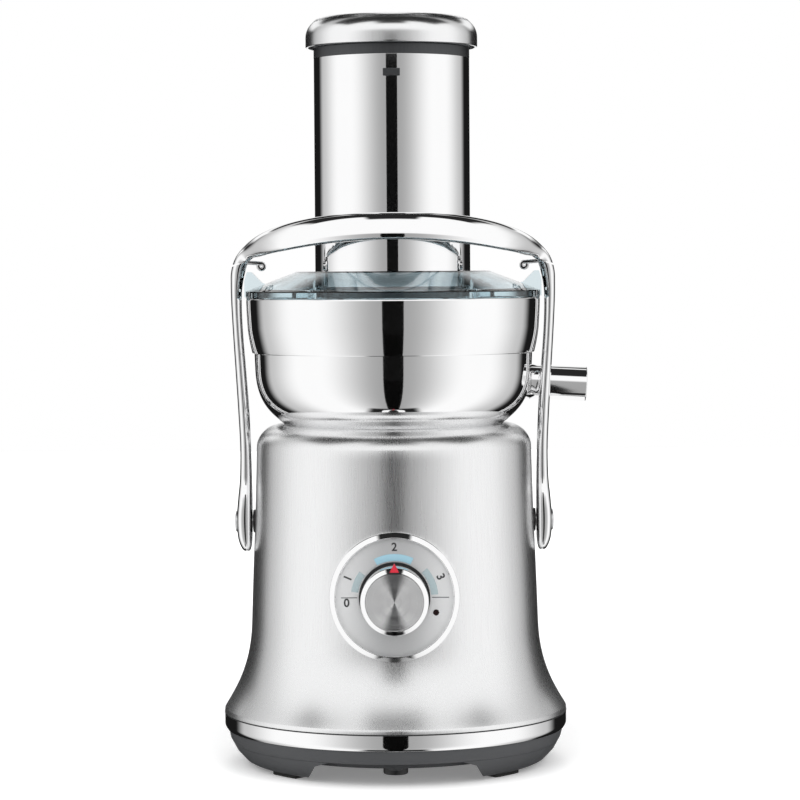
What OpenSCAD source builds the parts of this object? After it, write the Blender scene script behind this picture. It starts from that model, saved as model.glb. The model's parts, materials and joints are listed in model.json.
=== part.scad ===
// Centrifugal juicer: a round motor base with a speed dial, a filter bowl with a side spout, a
// spinning filter basket, a clear lid with a wide feed chute, a food pusher, a locking arm that
// swings forwards, and a pulp container behind. Front is -Y and up is +Z. The origin is on the
// table, on the axis of the motor shaft.

/* [Motor base] */
// Height of the base's flat top, where the bowl sits
base_top_z = 203.4; // [202.6:0.2:204]
// Radius of the housing just under its top shoulder
body_r = 82.5; // [82:0.1:83]
// Radius of the flare at the foot of the housing
flare_r = 102.6; // [102:0.2:103]
// Radius of the rounded top shoulder
shoulder_r = 15; // [14:0.5:16]
// Thickness of the steel housing
shell_t = 1.2; // [1:0.1:1.5]

/* [Speed dial] */
// Height of the dial's centre
dial_z = 108.2; // [106:0.2:110]
// Outer radius of the polished dial ring
bezel_r = 37; // [36.5:0.1:37.5]
// Radius of the knob
knob_r = 19.4; // [18.6:0.1:19.6]
// How far the knob stands out from the dial ring
knob_out = 23; // [18:0.5:26]

/* [Filter bowl] */
// Radius of the bowl's rim
bowl_r = 88; // [87.8:0.1:88.1]
// Height of the bowl's rim
bowl_rim_z = 278.6; // [278.4:0.1:278.8]
// Outer radius of the juice spout
spout_r = 10.5; // [9.5:0.1:10.8]
// Bore radius of the juice spout
spout_bore_r = 8.9; // [8:0.1:9.2]
// Fall of the spout, in degrees below level
spout_fall = 3; // [0:0.5:4]

/* [Feed chute and pusher] */
// Height of the chute's top edge
chute_top_z = 427.6; // [400:0.2:440]
// Radius of the pusher's cap
cap_r = 51.3; // [50:0.1:54]
// Height of the pusher's cap
cap_h = 19.2; // [17:0.2:24]

/* [Locking arm] */
// Radius of the arm's pivot pins
pin_r = 4; // [3.5:0.1:4]
// Depth of the arm's legs, front to back
leg_depth = 12; // [10:0.5:13]
// How far the bow stands in front of the shaft
bow_front = 66; // [62:0.5:72]

/* [Pulp container] */
// Width of the pulp container's body
bin_w = 136; // [134:1:138]
// Distance from the shaft to the container's back wall
bin_back = 208; // [190:1:210]
// Wall thickness of the container
bin_t = 2.2; // [1.8:0.1:3]

/* [Hidden] */
$fn = 96;
eps = 0.5;          // overrun of a cutting tool
play = 0.05;        // radial clearance of a running fit

// Housing
shell_low_z = 31;   // lower edge of the steel housing
lip_z = 33.5;       // top of the short straight lip above that edge
plinth_top_z = 21.5;
foot_z = 13.6;      // joint between the plinth and the foot under it
plate_z = [8, 11];  // bottom plate, under and upper face
deck_r = 61.9;      // radius of the plug in the housing's top
seal_r = 16;
boss_r = 27;        // raised boss on the deck, around the coupling
boss_z = 214;
gland_r = 6;
gland_bore_r = 3.7;
screw_r = 1.8;

// Motor
shaft_r = 4;
post_ring = 50;     // radius of the circle of motor posts
post_z = 184;       // lower end of the posts
bracket_t = 4;
bracket_r = 43;
upper_z = 172;      // underside of the upper bracket
lower_z = 78;       // underside of the lower bracket
bearing_r = 11;
bearing_h = 7;
stator_r = [26, 42];
stator_z = [112, 160];
bolt_ring = 39;     // radius of the two long motor bolts
bolt_r = 2;
brush_z = 91;

// Dial
dial_front = 90;    // distance from the shaft to the dial ring's face
face_near = 86.6;
face_far = 88;
cup_r = 34.2;       // radius of the dial's housing
dial_shaft_r = 3;
light_r = [21, 25];
light_sweeps = [[143, 172], [64, 118], [4, 42]]; // slow, middle and fast, in degrees from +X
lamp_at = [23.7, -8.7];
lamp_r = 1.7;
skirt_r = 20.4;

// Bowl
chimney_r = 30;     // inner radius of the bowl's centre tube
chimney_z = 222;
wall_r = 83.3;      // radius of the bowl's upper wall
wall_top_z = 270.6;
step_z = 246;       // lower edge of the upper band
spout_at = [72, 22, 227.8];
spout_end = 117;    // distance of the spout's mouth from the shaft
duct_w = 104;       // outer width of the pulp duct through the bowl's back
duct_z = 262;       // underside of the pulp duct

// Lid
chute_r = 44;
chute_out_r = 46;
chute_low_z = 235;
sleeve_r = 46.5;
band_z = 421.2;     // lower edge of the chute's dark collar
plateau = [58, 294.6];
lid_r = 88.2;
lid_edge_z = 283;
lip_low_z = 271;
hood_w = 132;

// Basket
basket_z = [224, 228];
basket_r = [52, 74.8];
basket_top_z = 268;
hub_r = 24;
hub_z = [216, 233];
coupling_z = [215, 230];

// Arm
pivot_z = 145;
bush_r = 6.9;
bush_out = 84.8;    // outer end of the bushes
leg_in = 85.2;      // inner face of the legs at the pivot
bow_z = 289;        // height where the bow's squarish ellipse starts
bow_half = 97.2;
bow_h = 39.7;
bow_power = 2.5;
catch_z = [295.4, 300.5];
cam_r = 10;
cam_rise = 3;       // travel of the plunger over the arm's swing
arm_swing = 105;
cam_x = [67, 71];
plunger_x = 69;
plunger_r = 1.5;

// ---------- shared shapes ----------
function bezier(a, b, c, d, n) =
    [for (i = [0:n]) let (t = i / n, s = 1 - t)
        s * s * s * a + 3 * s * s * t * b + 3 * s * t * t * c + t * t * t * d];
function arc(c, r, from, to, n) =
    [for (i = [0:n]) let (a = from + (to - from) * i / n) c + r * [cos(a), sin(a)]];
function reversed(points) = [for (i = [len(points) - 1:-1:0]) points[i]];

module spin(points) { rotate_extrude() polygon(points); }
module rod(r, z0, z1) { translate([0, 0, z0]) cylinder(r = r, h = z1 - z0); }
module tube(r_in, r_out, z0, z1) {
    difference() {
        rod(r_out, z0, z1);
        rod(r_in, z0 - eps, z1 + eps);
    }
}
// A round rod along Y on the dial's axis, between two distances in front of the shaft.
module dial_rod(r, near, far) {
    translate([0, -far, dial_z]) rotate([-90, 0, 0]) cylinder(r = r, h = far - near);
}
// A round rod along X on the pivot's axis.
module pivot_rod(r, x0, x1) {
    translate([x0, 0, pivot_z]) rotate([0, 90, 0]) cylinder(r = r, h = x1 - x0);
}
module around(n, first = 0) { for (i = [0:n - 1]) rotate(first + i * 360 / n) children(); }
module both_sides() {
    children();
    mirror([1, 0, 0]) children();
}
// An outline drawn in X and Z, given a depth in Y.
module side_plate(points, y0, y1) {
    translate([0, y1, 0]) rotate([90, 0, 0]) linear_extrude(y1 - y0) polygon(points);
}
// An outline drawn in Y and Z, given a width in X.
module end_plate(points, x0, x1) {
    translate([x0, 0, 0]) rotate([90, 0, 90]) linear_extrude(x1 - x0) polygon(points);
}
// A block between two corners.
module block(low, high) { translate(low) cube(high - low); }

// ---------- motor base, outside ----------
// The housing's outline from its lip up to its flat top, moved inwards by t.
function body_outline(t) = concat(
    bezier([flare_r - t, lip_z], [97.8 - t, 42], [87.5 - t, 56], [86.2 - t, 82], 12),
    bezier([85.9 - t, 90], [84.8 - t, 120], [body_r + 0.4 - t, 160],
           [body_r - t, base_top_z - shoulder_r], 5),
    arc([body_r - shoulder_r, base_top_z - shoulder_r], shoulder_r - t, 12, 90, 7));

module base_shell() {
    color("silver") difference() {
        spin(concat([[0, shell_low_z], [flare_r, shell_low_z]], body_outline(0), [[0, base_top_z]]));
        spin(concat([[0, shell_low_z - eps], [flare_r - shell_t, shell_low_z - eps]],
                    body_outline(shell_t), [[0, base_top_z - shell_t]]));
        rod(deck_r + 0.1, base_top_z - 5, base_top_z + 5);
        dial_rod(bezel_r + 0.15, 40, 120);
        pivot_rod(bush_r + play, -100, 100);
    }
}
module base_ring() {
    color("gainsboro")
        spin([[flare_r - 1.4, plinth_top_z], [flare_r, plinth_top_z + 5], [flare_r, shell_low_z],
              [97, shell_low_z], [97, plinth_top_z]]);
}
module plinth() {
    color("dimgray") difference() {
        spin([[100.6, plinth_top_z], [99.3, 16], [98, foot_z], [90, foot_z], [96.4, 17.5],
              [96.4, plinth_top_z]]);
        gland_line() rod(gland_r + play, 60, 120);
    }
}
// The foot under the plinth is open at the front in a low arch.
module foot_ring() {
    color("dimgray") difference() {
        spin([[98, foot_z], [95.5, 9], [90.3, 3.4], [87.5, 2], [78, 2], [78, plate_z[1]],
              [70, plate_z[1]], [70, foot_z]]);
        side_plate([[-52, -1], [-46.5, 10.5], [-36, foot_z + 1], [36, foot_z + 1], [46.5, 10.5], [52, -1]],
                   -120, -60);
        gland_line() rod(gland_r + play, 60, 120);
        base_screw_places() rod(screw_r + play, 5, 20);
    }
}
module base_screw_places() { for (a = [35, 145, 215, 325]) rotate(a) translate([74, 0, 0]) children(); }
module bottom_plate() {
    color("dimgray") difference() {
        union() {
            rod(77.8, plate_z[0], plate_z[1]);
            translate([0, -72, 0]) rod(4.5, 6.5, 9);
        }
        around(5) for (r = [16:9:43]) translate([r, -r / 4 - 3, 7]) cube([3.5, r / 2 + 6, 5]);
        base_screw_places() rod(screw_r + play, 5, 20);
    }
}
module base_screws() {
    color("silver") base_screw_places() {
        rod(screw_r, 8, 13);
        rod(3.4, 6.2, 8);
    }
}
// Each foot is a short curved pad.
module rubber_feet() {
    color("black") for (a = [41, 139, 221, 319]) linear_extrude(2)
        polygon(concat(arc([0, 0], 87, a - 7, a + 7, 5), arc([0, 0], 78.5, a + 7, a - 7, 5)));
}
module gland_line() { translate([0, 0, 14]) rotate([0, 90, 150]) children(); }
module cord_gland() {
    color("black") gland_line() difference() {
        union() {
            rod(gland_r, 86, 102);
            rod(7.2, 101, 103);
        }
        rod(gland_bore_r, 80, 110);
    }
}

// ---------- motor base, inside ----------
module posts() { around(4, 45) translate([post_ring, 0, 0]) children(); }
module long_bolts() { around(2, 90) translate([bolt_ring, 0, 0]) children(); }
module cooling_holes() { around(4, 45) translate([27, 0, 0]) rod(6, 60, 190); }
module top_deck() {
    color("darkgray") difference() {
        union() {
            rod(deck_r, base_top_z - 4.4, base_top_z);
            rod(66, base_top_z - 4.4, base_top_z - shell_t);
            rod(boss_r, base_top_z - 1, boss_z);
            posts() rod(5, post_z, base_top_z - 4);
        }
        rod(seal_r, 190, 220);
        posts() rod(screw_r + play, post_z - eps, 194);
    }
}
module shaft_seal() {
    color("black") {
        tube(shaft_r + 0.3, seal_r, 206, 209);
        tube(13, seal_r, 200, 206);
    }
}
module motor_upper_bracket() {
    color("silver") difference() {
        union() {
            rod(bracket_r, upper_z, upper_z + bracket_t);
            posts() rod(7, upper_z, upper_z + bracket_t);
            around(4, 45) block([36, -6, upper_z], [post_ring, 6, upper_z + bracket_t]);
            rod(14, upper_z, upper_z + bracket_t + bearing_h);
            long_bolts() rod(3.4, stator_z[1], upper_z);
        }
        rod(8, 160, 200);
        rod(bearing_r, upper_z + bracket_t, 200);
        posts() rod(screw_r + 0.3, 160, 200);
        long_bolts() rod(bolt_r + play, 150, 200);
        cooling_holes();
    }
}
module motor_lower_bracket() {
    color("silver") difference() {
        union() {
            rod(bracket_r, lower_z, lower_z + bracket_t);
            rod(14, lower_z - bearing_h, lower_z + bracket_t);
            long_bolts() rod(3.4, lower_z + bracket_t, stator_z[0]);
        }
        rod(8, 60, 100);
        rod(bearing_r, 60, lower_z);
        long_bolts() rod(bolt_r + play, 60, 120);
        cooling_holes();
    }
}
module motor_mounts() {
    color("black") posts() tube(screw_r + 0.3, 4.8, upper_z + bracket_t, post_z);
}
module motor_screws() {
    color("silver") {
        posts() {
            rod(screw_r, upper_z - 2, 193);
            rod(3.6, upper_z - 3, upper_z);
        }
        long_bolts() {
            rod(bolt_r, lower_z - 2, upper_z + bracket_t);
            rod(3.6, lower_z - 3, lower_z);
        }
    }
}
module stator_core() {
    color("slategray") difference() {
        tube(stator_r[0], stator_r[1], stator_z[0], stator_z[1]);
        long_bolts() rod(bolt_r + play, 100, 180);
    }
}
module field_coils() {
    color("peru") for (z = [stator_z[0] - 8, stator_z[1]], turn = [0, 180]) rotate(turn) intersection() {
        tube(28, 34.5, z, z + 8);
        block([4, -40, z - 1], [44, 40, z + 12]);
    }
}
module brush_box(from, to, half) { block([from, -half, brush_z - half], [to, half, brush_z + half]); }
module brush_holders() {
    color("goldenrod") for (turn = [0, 180]) rotate(turn) difference() {
        union() {
            brush_box(17, 36, 5);
            block([20, -5, lower_z + bracket_t], [36, 5, brush_z]);
        }
        brush_box(15, 34, 3.2);
    }
}
module carbon_brushes() {
    color("black") for (turn = [0, 180]) rotate(turn) brush_box(14.3, 30, 3.1);
}
module bearing(z) { color("lightsteelblue") tube(shaft_r + 0.03, bearing_r, z, z + bearing_h); }
module upper_bearing() { bearing(upper_z + bracket_t); }
module lower_bearing() { bearing(lower_z - bearing_h); }
module control_board() {
    color("seagreen") block([-30, -65, 80], [30, -63.4, 136]);
    color("silver") block([-26, -63.4, 84], [-10, -54.4, 114]);
    color("black") block([6, -63.4, 96], [24, -57.4, 110]);
    color("navy") translate([10, -63.4, 124]) rotate([-90, 0, 0]) cylinder(r = 6, h = 10);
}
module mains_filter() { color("gold") block([-36, 44, plate_z[1]], [-10, 58, 33]); }
module speed_encoder() {
    color("darkgreen") difference() {
        block([-8, -77, dial_z - 8], [8, -68, dial_z + 8]);
        dial_rod(dial_shaft_r + play, 60, 80);
    }
}
module dial_housing() {
    color("black") difference() {
        dial_rod(cup_r, 65, face_near);
        dial_rod(cup_r - 2, 68, 90);
        dial_rod(5, 60, 70);
    }
}
module dial_bezel() {
    color("white") difference() {
        dial_rod(bezel_r, 75, dial_front);
        dial_rod(cup_r, 70, 95);
        translate([0, -dial_front, dial_z]) rotate([-90, 0, 0])
            cylinder(r1 = cup_r + 1.6, r2 = cup_r, h = 2);
    }
}
// A flat ring sector on the dial, from one angle to another, seen from the front.
module dial_sector(r, sweep, near, far) {
    translate([0, -near, dial_z]) rotate([90, 0, 0]) linear_extrude(far - near)
        polygon(concat(arc([0, 0], r[1], sweep[0], sweep[1], 10),
                       arc([0, 0], r[0], sweep[1], sweep[0], 10)));
}
module lamp_rod(near, far) { translate([lamp_at[0], 0, lamp_at[1]]) dial_rod(lamp_r, near, far); }
module dial_face() {
    color("lightgray") difference() {
        dial_rod(cup_r, face_near, face_far);
        dial_rod(dial_shaft_r + 0.4, 80, 95);
        for (sweep = light_sweeps) dial_sector(light_r, sweep, 80, 95);
        lamp_rod(80, 95);
    }
}
module speed_lights() {
    color("deepskyblue") for (sweep = light_sweeps) dial_sector(light_r, sweep, 82, face_far);
}
module overload_lamp() { color("darkred") lamp_rod(80, face_far + 0.4); }
module pivot_bushes() {
    color("black") both_sides() difference() {
        union() {
            pivot_rod(bush_r, 76, bush_out);
            pivot_rod(9, 76, 79.6);
        }
        pivot_rod(pin_r + play, 70, 90);
    }
}
module interlock_switch() {
    color("black") difference() {
        block([61, -9, 108], [82, 9, 127]);
        translate([plunger_x, 0, 0]) rod(plunger_r + 0.1, 112, 130);
    }
}

// ---------- filter bowl ----------
// The bowl's curved side from its foot up to the straight wall, moved inwards by t.
function bowl_outline(t) = bezier([65.4 - t, base_top_z], [75 - t, 210.6], [82.2 - t, 218], [82.9 - t, 236], 10);
module spout_line() { translate(spout_at) rotate([0, 90 + spout_fall, 0]) children(); }
// The way for the pulp duct through the back of the bowl.
module duct_notch() { block([-duct_w / 2 - 0.3, 40, duct_z - 0.4], [duct_w / 2 + 0.3, 120, 300]); }
module bowl_shell() {
    t = 1;
    color("silver") difference() {
        spin(concat([[chimney_r, base_top_z]], bowl_outline(0),
                    [[wall_r, step_z], [wall_r, wall_top_z], [wall_r - t, wall_top_z], [wall_r - t, step_z]],
                    [for (p = reversed(bowl_outline(t))) if (p[1] > base_top_z + t) p],
                    [[66.4, base_top_z + t], [chimney_r + t, base_top_z + t], [chimney_r + t, chimney_z],
                     [chimney_r, chimney_z]]));
        spout_line() rod(spout_bore_r, -5, 60);
        duct_notch();
    }
}
module bowl_collar() {
    color("gainsboro") difference() {
        spin([[wall_r, step_z + 0.6], [84, step_z], [84.7, step_z + 0.5], [85.9, 254], [87, 262],
              [bowl_r - 0.05, bowl_rim_z - 1.2], [bowl_r, bowl_rim_z - 0.4], [bowl_r - 0.5, bowl_rim_z],
              [86, bowl_rim_z], [86, wall_top_z], [wall_r, wall_top_z]]);
        duct_notch();
    }
}
// A sloping floor that leads the juice out to the wall.
module juice_tray() {
    color("lightgray") spin([[chimney_r + 1, 214.4], [chimney_r + 1, 215.8], [69.5, 213.4], [71.5, 215.4],
                             [72.1, 214.6], [70, 212]]);
}
// The spout has a welded collar where it meets the bowl.
module spout_tube() {
    color("gainsboro") difference() {
        spout_line() difference() {
            union() {
                rod(spout_r, 0, (spout_end - spout_at[0]) / cos(spout_fall));
                rod(spout_r + 1.4, 0, 12.6);
            }
            rod(spout_bore_r, -eps, 60);
        }
        spin(concat([[0, base_top_z]], bowl_outline(0), [[wall_r, step_z], [0, step_z]]));
    }
}

// ---------- lid and feed chute ----------
module hood_plan(inset) {
    w = hood_w / 2 - inset;
    r = 16 - inset;
    back = bin_back + 4 - inset;
    polygon(concat([[-w, 40], [w, 40]], arc([w - r, back - r], r, 0, 90, 8),
                   arc([r - w, back - r], r, 90, 180, 8)));
}
// The hood over the container: flat in the middle, sloping at its sides.
module hood(inset, low) {
    w = hood_w / 2 - inset;
    top = plateau[1] - inset;
    intersection() {
        translate([0, 0, low]) linear_extrude(60) hood_plan(inset);
        side_plate([[-w, low], [w, low], [w, top - 10], [w - 6, top - 6], [50, top], [-50, top],
                    [6 - w, top - 6], [-w, top - 10]], 30, 220);
    }
}
lid_profile = [
    [chute_r, chute_low_z], [chute_out_r, chute_low_z], [chute_out_r, plateau[1] - 2.4],
    [plateau[0] - 0.4, plateau[1] - 2.4], [83.4, 282.3], [83.4, lip_low_z], [85.7, lip_low_z],
    [85.7, bowl_rim_z], [lid_r - 0.3, bowl_rim_z], [lid_r, bowl_rim_z + 0.4], [lid_r, lid_edge_z],
    plateau, [chute_out_r, plateau[1]], [chute_out_r, band_z], [chute_r, band_z]
];
// The hollow under the lid's deck.
lid_inside = [[0, 260], [83.4, 260], [83.4, 282.3], [plateau[0] - 0.4, plateau[1] - 2.4],
              [0, plateau[1] - 2.4]];
hood_low_z = 276.5; // lower edge of the hood, just over the container's rim
module lid() {
    duct = duct_w / 2;
    color("lightsteelblue", 0.6) difference() {
        union() {
            spin(lid_profile);
            difference() {
                hood(0, hood_low_z);
                rod(bowl_r + 0.3, 200, bowl_rim_z);
                spin(lid_inside);
            }
            difference() {
                union() {
                    block([-duct, 40, duct_z], [duct, 98, 284]);
                    both_sides() side_plate([[74, 287], [86.5, 281], [88.8, 279.4], [88.8, 289.4],
                                             [87.3, 294.6], [84.6, 294.6], [78, 288]], -6, 6);
                }
                spin(lid_inside);
            }
        }
        difference() {
            hood(2, 270);
            rod(lid_r + 2, 260, 300);
            block([-duct, 40, 260], [duct, 98, 300]);
        }
        block([2 - duct, 50, duct_z + 2], [duct - 2, 130, plateau[1] - 2.4]);
        rod(chute_r, 230, 450);
    }
}
module chute_sleeve() { color("gainsboro") tube(chute_out_r, sleeve_r, plateau[1], band_z); }
module chute_collar() {
    color("dimgray") {
        tube(chute_r, sleeve_r, band_z, chute_top_z);
        block([-5, -47.8, 408.2], [5, -46.5, 412.6]);
    }
}

// ---------- spinning parts ----------
module motor_shaft() { color("silver") rod(shaft_r, 48, 228); }
module armature_core() { color("slategray") tube(shaft_r, 25.3, 110, 162); }
module armature_windings() {
    color("peru") {
        tube(shaft_r, 21, 100, 110);
        tube(shaft_r, 21, 162, 169);
    }
}
module commutator() { color("orange") tube(shaft_r, 14, 84, 98); }
module cooling_fan() {
    color("black") difference() {
        union() {
            rod(38, 64, 66);
            rod(9, 52, 66);
            around(11) block([8, -0.9, 52], [37, 0.9, 65]);
        }
        rod(shaft_r, 40, 70);
    }
}
module drive_coupling() {
    color("black") difference() {
        union() {
            rod(15, coupling_z[0], coupling_z[1]);
            around(6) translate([14.5, 0, 0]) rod(3.4, coupling_z[0], coupling_z[1]);
        }
        rod(shaft_r, 210, 228);
    }
}
module basket_base() {
    color("darkgray") difference() {
        union() {
            rod(hub_r, hub_z[0], hub_z[1] - 2);
            rod(hub_r - 2, hub_z[0], hub_z[1]);
            rod(basket_r[0], basket_z[0], basket_z[1]);
        }
        rod(18.6, hub_z[0] - eps, coupling_z[1] + 0.6);
    }
}
module basket_mesh() {
    t = 0.8;
    color("silver") spin([[basket_r[0] - t, basket_z[1]], [basket_r[0], basket_z[1]],
                          [basket_r[1], basket_top_z], [basket_r[1] - t, basket_top_z]]);
}
module basket_rim() { color("gainsboro") tube(basket_r[1] - 0.8, 77, basket_top_z, basket_top_z + 4); }
// A flat disc with rows of small pointed teeth.
module cutting_disc() {
    top = basket_z[1] + 1.4;
    color("silver") {
        tube(hub_r, 46, basket_z[1], top);
        for (row = [0:2], i = [0:11 + 4 * row]) rotate(i * 360 / (12 + 4 * row) + 9 * row)
            translate([28.5 + 6.5 * row, 0.4, top - 0.2]) rotate([90, 0, 0]) linear_extrude(0.8)
                polygon([[0, 0], [3.2, 0], [2.2, 2.6]]);
    }
}

// ---------- locking arm ----------
// Half width of the squarish ellipse and its height, at angle a.
function bow_point(a) = [
    bow_half * sign(cos(a)) * pow(abs(cos(a)), 2 / bow_power), bow_z + bow_h * pow(sin(a), 2 / bow_power)];
seam_in = [86.1, 301.8];    // inner end of the seam between bow and leg
module arm_bow() {
    top = [for (a = [5:10:175]) bow_point(a)];
    under = [for (i = [0:12]) let (x = seam_in[0] * (i / 6 - 1)) [x, 301.8 + 11 * (1 - pow(x / seam_in[0], 2))]];
    centre = bow_half + 5.6 - bow_front;
    color("gainsboro") difference() {
        intersection() {
            side_plate(concat(top, under), -80, leg_depth / 2);
            translate([0, centre, 290]) tube(bow_half - 6.4, bow_half + 5.6, 0, 50);
        }
        both_sides() catch_block();
    }
}
// The right leg's front outline and its side outline.
leg_outline = concat(
    [seam_in, bow_point(5), [bow_half, bow_z], [97, 275], [96, 253], [94.8, 230]],
    bezier([93.6, 208], [92.6, 190], [92.2, 178], [92.4, 166.8], 4),
    bezier([93.4, 159.6], [94.8, 148], [94.4, 134], [88, 126.6], 8),
    [[86.2, 128], [leg_in, 131], [leg_in, 170], [86.1, 195.6], [86.9, 215], [90.3, 258], [90.4, 285]]);
leg_sides = let (d = leg_depth / 2) concat(
    [[-d, 303], [-d, 190]], bezier([-d, 186], [-d, 172], [-11, 164], [-11, 148], 5),
    bezier([-11, 145], [-11, 134], [-6, 126.6], [0, 126.6], 5), bezier([2, 126.7], [7, 127.4], [11, 135], [11, 145], 5),
    bezier([11, 148], [11, 164], [d, 172], [d, 186], 5), [[d, 190], [d, 303]]);
module catch_block() { block([75.9, -5, catch_z[0]], [91, 5, catch_z[1]]); }
module arm_leg(pin_end) {
    union() {
        difference() {
            intersection() {
                side_plate(leg_outline, -20, 20);
                end_plate(leg_sides, 80, 100);
            }
            catch_block();
        }
        pivot_rod(pin_r, pin_end, leg_in + 2);
    }
}
module arm_leg_left() { color("gainsboro") mirror([1, 0, 0]) arm_leg(74); }
module arm_leg_right() { color("gainsboro") arm_leg(66); }
module arm_catches() { color("white") both_sides() catch_block(); }
// The cam's radius falls evenly as the arm swings forwards, and lets the plunger rise.
module interlock_cam() {
    edge = [for (s = [-20:5:arm_swing]) let (a = 270 - s, r = cam_r - cam_rise * max(s, 0) / arm_swing)
        [r * cos(a), pivot_z + r * sin(a)]];
    color("orange") difference() {
        union() {
            end_plate(concat([[0, pivot_z]], edge), cam_x[0], cam_x[1]);
            pivot_rod(cam_r - cam_rise, cam_x[0], cam_x[1]);
        }
        pivot_rod(pin_r, 60, 80);
    }
}
module interlock_plunger() {
    color("red") translate([plunger_x, 0, 0]) rod(plunger_r, 114, pivot_z - cam_r - 0.5);
}

// ---------- speed knob ----------
knob_front = dial_front + knob_out;
module pointer_prism() {
    translate([0, -knob_front + 8, dial_z]) rotate([90, 0, 0]) linear_extrude(8.3)
        polygon([[-3.6, 17.1], [3.6, 17.1], [2, 19], [0.6, 21.4], [-0.6, 21.4], [-2, 19]]);
}
module dial_knob() {
    color("lightgray") difference() {
        dial_rod(knob_r, dial_front, knob_front);
        dial_rod(knob_r - 1.5, dial_front - 1, knob_front - 1.6);
        difference() {
            dial_rod(knob_r + 2, knob_front - 2.4, knob_front + 1);
            translate([0, -knob_front, dial_z]) rotate([-90, 0, 0])
                cylinder(r1 = knob_r - 2.4, r2 = knob_r, h = 2.4);
        }
        pointer_prism();
    }
}
module dial_core() {
    color("black") difference() {
        union() {
            dial_rod(knob_r - 1.5, dial_front - 1.4, knob_front - 1.6);
            dial_rod(skirt_r, dial_front - 1.4, dial_front);
        }
        dial_rod(dial_shaft_r, 80, dial_front + 12);
        pointer_prism();
    }
}
module dial_pointer() { color("crimson") pointer_prism(); }
module dial_shaft() { color("silver") dial_rod(dial_shaft_r, 69, dial_front + 12); }

// ---------- food pusher ----------
cap_low_z = chute_top_z + 0.2;
cap_top_z = cap_low_z + cap_h;
module pusher_tube() {
    r = chute_r - 0.4;
    wall = 2.4;
    color("dimgray") spin([[0, 240], [r - 1, 240], [r, 241], [r, cap_low_z], [sleeve_r, cap_low_z],
                           [sleeve_r, cap_low_z + 2], [r, cap_low_z + 2], [r, cap_low_z + 12],
                           [r - wall, cap_low_z + 12], [r - wall, 243], [0, 243]]);
}
// The cap is a hollow domed shell with a spigot that plugs the tube.
module pusher_cap() {
    skin = 1.6;
    color("gainsboro") union() {
        spin(concat([[cap_r - skin, cap_low_z], [cap_r - 0.6, cap_low_z], [cap_r, cap_low_z + 0.8]],
                    bezier([cap_r, cap_top_z - 9], [cap_r, cap_top_z - 4.6], [cap_r - 11, cap_top_z - 1],
                           [0, cap_top_z], 14),
                    bezier([0, cap_top_z - skin], [cap_r - 12, cap_top_z - 1 - skin],
                           [cap_r - skin, cap_top_z - 5 - skin], [cap_r - skin, cap_top_z - 10], 10)));
        tube(38.8, 41.2, cap_low_z - 8, cap_top_z - 4);
    }
}

// ---------- pulp container ----------
module bin_plan(inset) {
    w = bin_w / 2 - inset;
    r = 14 - inset;
    back = bin_back - inset;
    polygon(concat([[-w, 50], [w, 50]], arc([w - r, back - r], r, 0, 90, 8),
                   arc([r - w, back - r], r, 90, 180, 8)));
}
// The space that the base and the bowl take in front of the container, with a margin.
module base_envelope(gap) {
    spin([[0, -1], [103 + gap, -1], [103 + gap, 40], [96 + gap, 52], [89 + gap, 72], [88.4 + gap, 310], [0, 310]]);
}
module pulp_container() {
    rim_z = 276;
    color("gray") difference() {
        union() {
            linear_extrude(rim_z) bin_plan(0);
            translate([0, 0, rim_z - 4]) linear_extrude(4) bin_plan(-2);
        }
        base_envelope(2.2);
        difference() {
            translate([0, 0, bin_t]) linear_extrude(rim_z) bin_plan(bin_t);
            base_envelope(2.2 + bin_t);
        }
        block([-duct_w / 2 - 0.5, 40, duct_z - 0.6], [duct_w / 2 + 0.5, 110, 300]);
    }
}

base_shell();
base_ring();
plinth();
foot_ring();
bottom_plate();
rubber_feet();
base_screws();
cord_gland();
top_deck();
shaft_seal();
motor_upper_bracket();
motor_lower_bracket();
motor_mounts();
motor_screws();
stator_core();
field_coils();
brush_holders();
carbon_brushes();
upper_bearing();
lower_bearing();
control_board();
mains_filter();
speed_encoder();
dial_housing();
dial_bezel();
dial_face();
speed_lights();
overload_lamp();
pivot_bushes();
interlock_switch();
bowl_shell();
bowl_collar();
juice_tray();
spout_tube();
lid();
chute_sleeve();
chute_collar();
motor_shaft();
armature_core();
armature_windings();
commutator();
cooling_fan();
drive_coupling();
basket_base();
basket_mesh();
basket_rim();
cutting_disc();
arm_bow();
arm_leg_left();
arm_leg_right();
arm_catches();
interlock_cam();
dial_knob();
dial_core();
dial_pointer();
dial_shaft();
pusher_tube();
pusher_cap();
interlock_plunger();
pulp_container();
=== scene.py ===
import json
import math

import bmesh
import bpy
import numpy as np
from mathutils import Matrix

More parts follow.
